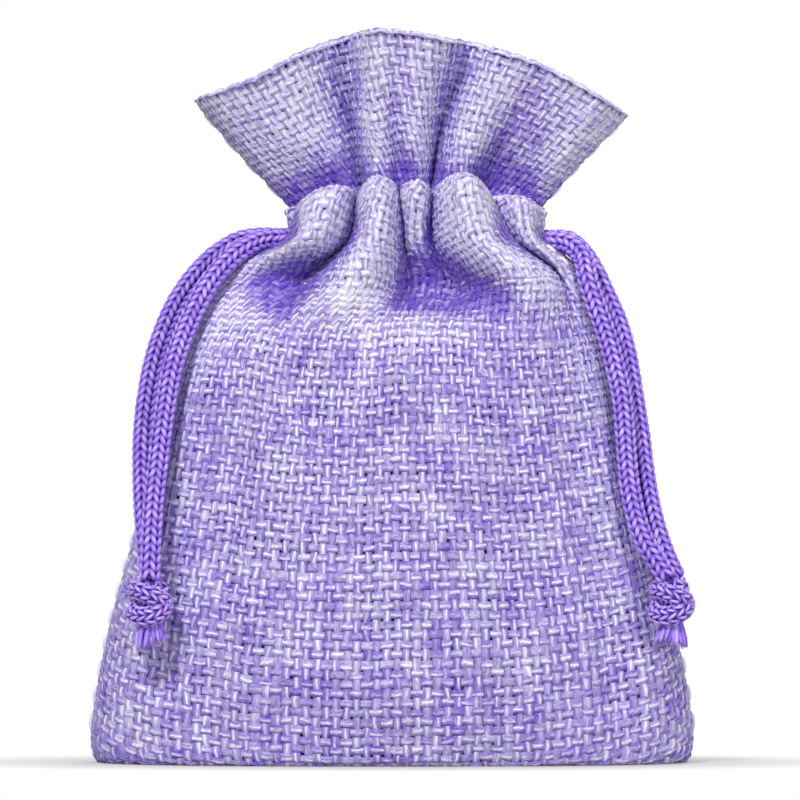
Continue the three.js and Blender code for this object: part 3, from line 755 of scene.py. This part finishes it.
def stitches(points, normal, length=2.1, gap=0.8):
    """Thread dashes along a line on a surface, which dive into it at both ends."""
    steps = 40
    sunk = 0.35
    count = max(int(path_length(points) / (length + gap)), 1)
    fine = even_points(points, steps * count + 1)
    stitch = np.linspace(0, steps * length / (length + gap), 7).astype(int)
    index = np.arange(count)[:, None] * steps + stitch[None, :]
    dive = sunk * np.array([1, 0.3, 0, 0, 0, 0.3, 1])
    up = unit(np.array(normal, float))
    centres = fine[index] - dive[None, :, None] * up
    half = np.full(centres.shape[:2], thread_diameter / 2)
    return tubes(centres, np.broadcast_to(up, centres.shape), half, half, even_angles(6))


def make_stitching(material):
    set_in = 0.36
    across = np.linspace(-0.92, 0.92, 400)
    for name, (side, folds) in panels.items():
        for row_name, level in (("lower", lower_row), ("upper", upper_row)):
            row = cloth_rows(side, folds, across, np.array([level]), set_in)[0]
            parts = [stitches(row, (0, side, 0))]
            if (name, row_name) == ("front", "lower"):
                parts.append(slit_stitches(side, folds))
            piece = mesh_object(f"{name}_{row_name}_stitches", joined(parts), material, "bag", "thread")
            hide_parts(f"{name}_{row_name}_stitching")


def slit_stitches(side, folds):
    """Short dashes that show beside the right slit, where the lower row turns up along its edge."""
    across = np.array([0.82])
    levels = np.linspace(lower_row + 0.15, lower_row + 0.95, 60)
    stand_out = 0.15
    edge = cloth_rows(side, folds, across, levels, -stand_out)[:, 0]
    return stitches(edge, (0.6, side, 0), length=0.9, gap=0.5)


def make_seams(material):
    side, folds = panels["front"]
    points = 200
    seams = {"body": (2, lower_row - 0.8), "ruffle": (upper_row + 0.1, top_row - 0.1)}
    for name, edge in (("left", -1.0), ("right", 1.0)):
        for part, (start, end) in seams.items():
            line = cloth_rows(side, folds, np.array([edge]), np.linspace(start, end, points))[:, 0]
            line[:, 1] = 0
            shape = stitches(line, (edge, 0, 0))
            piece = mesh_object(f"{name}_{part}_seam_stitches", shape, material, "bag", "thread")
            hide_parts(f"{name}_{part}_seam")
    reach = base_width / 2 - 2 * corner_radius
    seam_height = 0.3
    line = np.linspace((-reach, 0, seam_height), (reach, 0, seam_height), points)
    piece = mesh_object("bottom_seam_stitches", stitches(line, (0, 0, -1)), material, "bag", "thread")
    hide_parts("bottom_seam")


# Drawstrings

def knit(path, radius=cord_diameter / 2, pitch=0.92, wales=4, paleness=0.0):
    """Knitted cord along a path: columns of V-shaped stitches round a core."""
    steps = 8
    leg_width = 0.29 * pitch
    leg_thickness = 0.22 * pitch
    leg_reach = 1.3
    leg_start = 0.2
    rows = max(int(round(path_length(path) / pitch)), 2)
    fine = even_points(path, steps * rows + 1)
    normals, tangents = carried_normals(fine)
    sideways = np.cross(tangents, normals)
    samples = np.linspace(0, 1, 5)
    spread = 2 * np.pi / wales * (0.47 * (1 - samples) + 0.06 * samples)
    tuck = np.array([0.78, 0.97, 1.0, 0.97, 0.78])
    row, wale, hand = np.meshgrid(np.arange(rows), np.arange(wales), (-1, 1), indexing="ij")
    row, wale, hand = (values.ravel()[:, None] for values in (row, wale, hand))
    along = steps * (row + leg_reach * samples - leg_start)
    step = np.clip(np.round(along).astype(int), 0, steps * rows)
    angle = 2 * np.pi * wale / wales + hand * spread
    outward = np.cos(angle)[..., None] * normals[step] + np.sin(angle)[..., None] * sideways[step]
    centres = fine[step] + outward * ((radius - leg_thickness) * tuck)[None, :, None]
    step_length = path_length(path) / (steps * rows)
    centres = centres + tangents[step] * ((along - step) * step_length)[..., None]
    half_width = np.broadcast_to(leg_width * np.array([0.6, 1, 1, 1, 0.6]), step.shape)
    half_thickness = np.broadcast_to(leg_thickness * np.array([0.7, 1, 1, 1, 0.7]), step.shape)
    angles = even_angles(6)
    legs = tubes(centres, outward, half_width, half_thickness, angles)
    # Painted light and shade: each leg is paler at its middle and along its crown, a painted highlight, and
    # darker at its ends where it tucks in, a painted shade
    leg_painted_shading = np.array([0.1, 0.45, 0.62, 0.5, 0.15]) + paleness
    high = leg_painted_shading[None, :, None] + 0.3 * np.sin(angles)[None, None, :]
    legs["lift"] = np.clip(high + random.normal(0, 0.06, (len(centres), 1, 1)), 0, 1).ravel()
    core_radius = np.full((1, len(fine)), radius - 1.6 * leg_thickness)
    core = tubes(fine[None], normals[None], core_radius, core_radius, angles)
    # The core takes the darkest colour: painted shade between the legs
    core["lift"] = np.zeros(len(core["points"]))
    return joined([core, legs])


def feed_path(name, cord):
    """From inside the channel to the slit, just into the strand that goes on from it."""
    pull = unit(np.array(drawstrings[name]["pull"]))
    slit = np.array(routes[f"{name}_{cord}"][0])
    room = cord_diameter / 2 + 2 * touch_gap
    overlap = 0.2
    return np.linspace(slit - pull * (room + feed_length), slit + overlap * pull, 12)


def loop_path(name):
    """In from the front feed, round the far end of the channel and back to the back feed."""
    facts = drawstrings[name]
    pull = unit(np.array(facts["pull"]))
    inward = -np.sign(pull[0])
    lead_in = 3.2
    ends = [feed_path(name, cord)[0] - touch_gap * pull for cord in ("front", "back")]
    straight = [[end, end - pull * cord_diameter / 3] for end in ends]
    run_start = ends[0][0] + inward * lead_in
    run_places = [run_start, (run_start + facts["loop_end"]) / 2, facts["loop_end"]]
    level = facts["loop_level"]
    run = lambda y: [(x, y, level) for x in run_places]
    bend = [
        (facts["loop_end"] + inward * channel_spread * math.cos(a), channel_spread * math.sin(a), level)
        for a in np.radians((-60, -30, 0, 30, 60))
    ]
    points = straight[0] + run(-channel_spread) + bend + run(channel_spread)[::-1] + straight[1][::-1]
    return smooth_path(np.array([tuple(p) for p in points]), 160)


def knot_top(name):
    ends = [np.array(routes[f"{name}_{cord}"][-1]) for cord in ("front", "back")]
    return (ends[0] + ends[1]) / 2 - (0, 0, touch_gap)


def knot_turn(centre, radius, tilt, turned, lift):
    """Almost closed ring of cord, tilted and then turned about the upright axis."""
    closed_share = 0.97
    angle = np.linspace(0, 2 * np.pi * closed_share, 60)
    x = radius * np.cos(angle) * math.cos(tilt)
    y = radius * np.sin(angle)
    z = -radius * np.cos(angle) * math.sin(tilt) + lift
    spun_x = x * math.cos(turned) - y * math.sin(turned)
    spun_y = x * math.sin(turned) + y * math.cos(turned)
    return centre + np.stack([spun_x, spun_y, z], axis=1)


def knot_shape(name):
    """Overhand knot tied in both strands at once: three crossing turns of knitted cord."""
    centre = knot_top(name) - (0, 0, knot_height / 2)
    radius = (knot_width - cord_diameter) / 2
    turns = [
        knot_turn(centre, radius, math.radians(30), 0.4, 0.6),
        knot_turn(centre, radius, math.radians(-34), 1.0, -0.7),
        knot_turn(centre, 0.8 * radius, math.radians(80), 0.9, 0),
        knot_turn(centre, 0.6 * radius, math.radians(8), 0.2, 0.32 * knot_height),
    ]
    entries = [np.linspace(routes[f"{name}_{cord}"][-1], centre, 12) for cord in ("front", "back")]
    return joined([knit(turn, pitch=0.66, wales=5, paleness=0.1) for turn in turns + entries])


def tassel_shape(name):
    """Frayed ends below a knot: two bundles of thick plies, and fine hairs that stray from them."""
    top = knot_top(name) - (0, 0, knot_height)
    hand = 1 if name == "left" else -1
    share = np.linspace(0, 1, 8)
    along = share[None, :, None]
    bundles = [(15, (-0.6 * hand, -0.4, -tassel_length)), (12, (1.1 * hand, -0.3, -0.8 * tassel_length))]
    parts = []
    for plies, tip in bundles:
        angle = 2 * np.pi * np.arange(plies) / plies + random.uniform(-0.3, 0.3, plies)
        ring = np.stack([np.cos(angle), np.sin(angle), 0 * angle], axis=1)
        flare = (0.55 + 0.55 * along) * ring[:, None] * random.uniform(0.55, 1.1, (plies, 1, 1))
        drop = np.array(tip) * random.uniform(0.85, 1.1, (plies, 1))
        start = np.array((tip[0] * 0.2, 0, 0.9))
        axis = start + (drop[:, None] - start) * along
        sway = random.normal(0, 0.16, (plies, 1, 3)) * np.sin(np.pi * along)
        parts.append(ply_tubes(top + axis + flare + sway, 0.32, (1, 1, 1, 1, 1, 0.95, 0.8, 0.35)))
    hairs = 36
    tip_x = random.normal(0, 0.6, hairs) - 0.1 * hand
    tip_y = random.normal(-0.3, 0.5, hairs)
    tip_z = -random.uniform(1.4, 2.8, hairs)
    start_x = random.normal(0, 0.6, hairs)
    start_y = random.normal(0, 0.6, hairs)
    tip = np.stack([tip_x, tip_y, tip_z], axis=1)
    start = np.stack([start_x, start_y, np.full(hairs, 0.4)], axis=1)
    curl = random.normal(0, 0.15, (hairs, 1, 3)) * np.sin(1.5 * np.pi * along)
    strays = start[:, None] + (tip - start)[:, None] * along + curl
    parts.append(ply_tubes(top + strays, 0.06, (1, 1, 1, 1, 1, 0.9, 0.8, 0.5)))
    return joined(parts)


def ply_tubes(centres, radius, taper):
    """Loose plies of the cord, each with a painted highlight along its crown and paler towards its end."""
    half = np.broadcast_to(radius * np.array(taper), centres.shape[:2])
    up = np.broadcast_to(np.array((0.0, -1.0, 0.2)), centres.shape)
    angles = even_angles(6)
    shape = tubes(centres, up, half, half, angles)
    share = np.linspace(0, 1, centres.shape[1])
    lift = 0.3 + 0.25 * share[None, :, None] + 0.35 * np.sin(angles)[None, None, :]
    shape["lift"] = np.clip(lift + random.normal(0, 0.12, (len(centres), 1, 1)), 0, 1).ravel()
    return shape


def make_drawstring(name, material):
    facts = {"body": f"{name}_tail", "slot": "cord", "material": material}
    for cord in ("front", "back"):
        route = routes[f"{name}_{cord}"]
        path = smooth_path(np.array(route, float), 160)
        strand = mesh_object(f"{name}_{cord}_knit_strand", knit(path), **facts)
        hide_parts(f"{name}_{cord}_strand")
        feed = mesh_object(
            f"{name}_{cord}_knit_feed", knit(feed_path(name, cord)), material, f"{name}_feed", "cord",
        )
        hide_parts(f"{name}_{cord}_feed")
    loop = mesh_object(f"{name}_knit_loop", knit(loop_path(name)), material, "bag", "cord")
    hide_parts(f"{name}_cord_loop")
    knot = mesh_object(f"{name}_tied_knot", knot_shape(name), **facts)
    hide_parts(f"{name}_knot")
    tassel = mesh_object(f"{name}_frayed_tassel", tassel_shape(name), **facts)
    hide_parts(f"{name}_tassel")


# Filling

def heap_shape():
    """Lumpy heart of the filling: rings from the base up to a rounded top."""
    around = 64
    body_rings = 30
    top_rings = 6
    top_level = 5.0
    lowest = 1.2
    dome_height = 5.2
    side_room = 3
    front_room = 1.9
    squareness = 0.9
    lump_height = 0.35
    levels = np.concatenate([np.linspace(1, top_level, body_rings), np.full(top_rings, top_level)])
    share = np.concatenate([np.zeros(body_rings), np.linspace(0.2, 0.97, top_rings)])
    spread = np.sqrt(1 - share**2)
    rise = np.maximum(between([s["rise"] for s in stations], levels), lowest) + dome_height * share
    half_width = between([s["half"] for s in stations], levels) - side_room
    half_depth = between([s["depth"] for s in stations], levels) - front_room
    angle = 2 * np.pi * np.arange(around) / around
    squared = lambda value: np.sign(value) * np.abs(value) ** squareness
    x = (spread * half_width)[:, None] * squared(np.cos(angle))
    y = (spread * half_depth)[:, None] * squared(np.sin(angle))
    grid = np.stack([x, y, np.broadcast_to(rise[:, None], x.shape)], axis=-1)
    middle = grid.mean(axis=1, keepdims=True)
    lumps = lump_height * slow_noise(len(grid), np.arange(float(around)), spacing=4) * spread[:, None]
    grid = grid + lumps[..., None] * unit(grid - middle)
    index = np.arange(grid.shape[0] * around).reshape(-1, around)
    turned = np.roll(index, -1, axis=1)
    quads = np.stack([index[:-1], turned[:-1], turned[1:], index[1:]], axis=-1).reshape(-1, 4)
    ring, place = np.meshgrid(np.arange(len(grid) - 1), np.arange(around), indexing="ij")
    u = np.stack([place, place + 1, place + 1, place], axis=-1) / around
    v = np.stack([ring, ring, ring + 1, ring + 1], axis=-1) / (len(grid) - 1)
    return dict(
        points=grid.reshape(-1, 3), quads=quads, caps=np.stack([index[0, ::-1], index[-1]]),
        uv=np.concatenate([np.stack([u, v], axis=-1).reshape(-1, 2), np.full((2 * around, 2), 0.5)]),
    )


def make_filling(heap, material):
    """Heap of dried lavender: its lumpy heart, with buds bedded all over it."""
    heart = mesh_object("lavender_heap", heap, material, "bag", "lavender")
    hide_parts("lavender_filling")
    buds = 1500
    bud_radius = 0.6
    bedded = 0.45
    base_cloth = yarn_thickness + 2 * yarn_crimp
    seat = heap["points"][random.integers(0, len(heap["points"]), buds)]
    outward = unit((seat - (0, 0, belly_height / 2)) * (1, 3, 0.4))
    lie = unit(np.cross(outward, random.normal(size=(buds, 3))))
    length = random.uniform(2.6, 3.8, buds)
    reach = np.linspace(-0.5, 0.5, 6)
    middle = seat - bedded * outward
    centres = middle[:, None] + lie[:, None] * (length[:, None] * reach)[..., None]
    centres[..., 2] = np.maximum(centres[..., 2], base_cloth + bud_radius)
    half = np.broadcast_to(bud_radius * np.array([0.25, 0.75, 1, 0.95, 0.8, 0.45]), (buds, 6))
    shape = tubes(centres, np.broadcast_to(outward[:, None], centres.shape), half, half, even_angles(6))
    pieces = mesh_object("lavender_buds", shape, material, "bag", "lavender")
    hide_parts("lavender_filling")


# Floor and light

def make_floor():
    """Pale floor that shows white away from the bag, and keeps the shadow close to it."""
    size = 3.0
    grey = 0.5
    shadow_stretch = (0.35, 1.0, 1.0)
    shadow_near = 9 * MM
    shadow_far = 20 * MM
    near_white = 0.1
    mesh = bpy.data.meshes.new("floor")
    corners = [(-size, -size, 0), (size, -size, 0), (size, size, 0), (-size, size, 0)]
    mesh.from_pydata(corners, [], [(0, 1, 2, 3)])
    floor = bpy.data.objects.new("floor", mesh)
    bpy.context.scene.collection.objects.link(floor)
    material, tree, shader = new_material("floor", roughness=0.9, sheen=0.0)
    shader.inputs["Base Color"].default_value = (grey, grey, grey, 1)
    white = add_node(tree, "ShaderNodeEmission", {"Strength": 1.0})
    place = add_node(tree, "ShaderNodeTexCoord").outputs["Object"]
    flattened = add_node(tree, "ShaderNodeVectorMath", {0: place, 1: shadow_stretch}, operation="MULTIPLY")
    distance = add_node(tree, "ShaderNodeVectorMath", {0: flattened.outputs[0]}, operation="LENGTH")
    away = add_node(tree, "ShaderNodeMapRange", {
        "Value": distance.outputs["Value"], "From Min": shadow_near, "From Max": shadow_far,
        "To Min": near_white,
    })
    factor = math_node(tree, "MULTIPLY", away.outputs["Result"], seen_ray(tree))
    mixed = add_node(tree, "ShaderNodeMixShader", {0: factor, 1: shader.outputs[0], 2: white.outputs[0]})
    tree.links.new(mixed.outputs[0], tree.nodes["Material Output"].inputs["Surface"])
    mesh.materials.append(material)


def seen_ray(tree):
    """1 for rays that show the surroundings, straight on or in a gloss, and 0 for light."""
    path = add_node(tree, "ShaderNodeLightPath").outputs
    shown = math_node(tree, "MAXIMUM", path["Is Camera Ray"], path["Is Glossy Ray"])
    return math_node(tree, "MAXIMUM", shown, path["Is Transmission Ray"])


def add_light(name, location, size, power):
    """Round soft lamp, aimed at the middle of the bag."""
    target = Vector((0, 0, 40)) * MM
    data = bpy.data.lights.new(name, "AREA")
    data.shape = "DISK"
    data.size = size
    data.energy = power
    light = bpy.data.objects.new(name, data)
    bpy.context.scene.collection.objects.link(light)
    light.location = location
    light.rotation_euler = (target - light.location).to_track_quat("-Z", "Y").to_euler()


def make_light():
    ambient = 0.25
    world = bpy.data.worlds.new("world")
    bpy.context.scene.world = world
    world.use_nodes = True
    tree = world.node_tree
    background = tree.nodes["Background"]
    background.inputs["Color"].default_value = (1, 1, 1, 1)
    shown = seen_ray(tree)
    strength = add_node(tree, "ShaderNodeMapRange", {"Value": shown, "To Min": ambient, "To Max": 1.0})
    tree.links.new(strength.outputs["Result"], background.inputs["Strength"])
    add_light("key", (-0.3, -0.75, 0.75), size=0.2, power=9)
    add_light("fill", (0.7, -0.95, 0.3), size=0.4, power=4.3)
    add_light("back", (0.3, 0.9, 0.6), size=0.4, power=3.5)


make_camera()
cord = cord_material()
for name in drawstrings:
    make_drawstring(name, cord)
cloth = cloth_material()
heap = heap_shape()
for name in panels:
    make_panel(name, cloth, heap)
thread = thread_material()
make_stitching(thread)
make_seams(thread)
make_filling(heap, lavender_material())
make_floor()
make_light()
bpy.context.scene.view_settings.view_transform = "Standard"
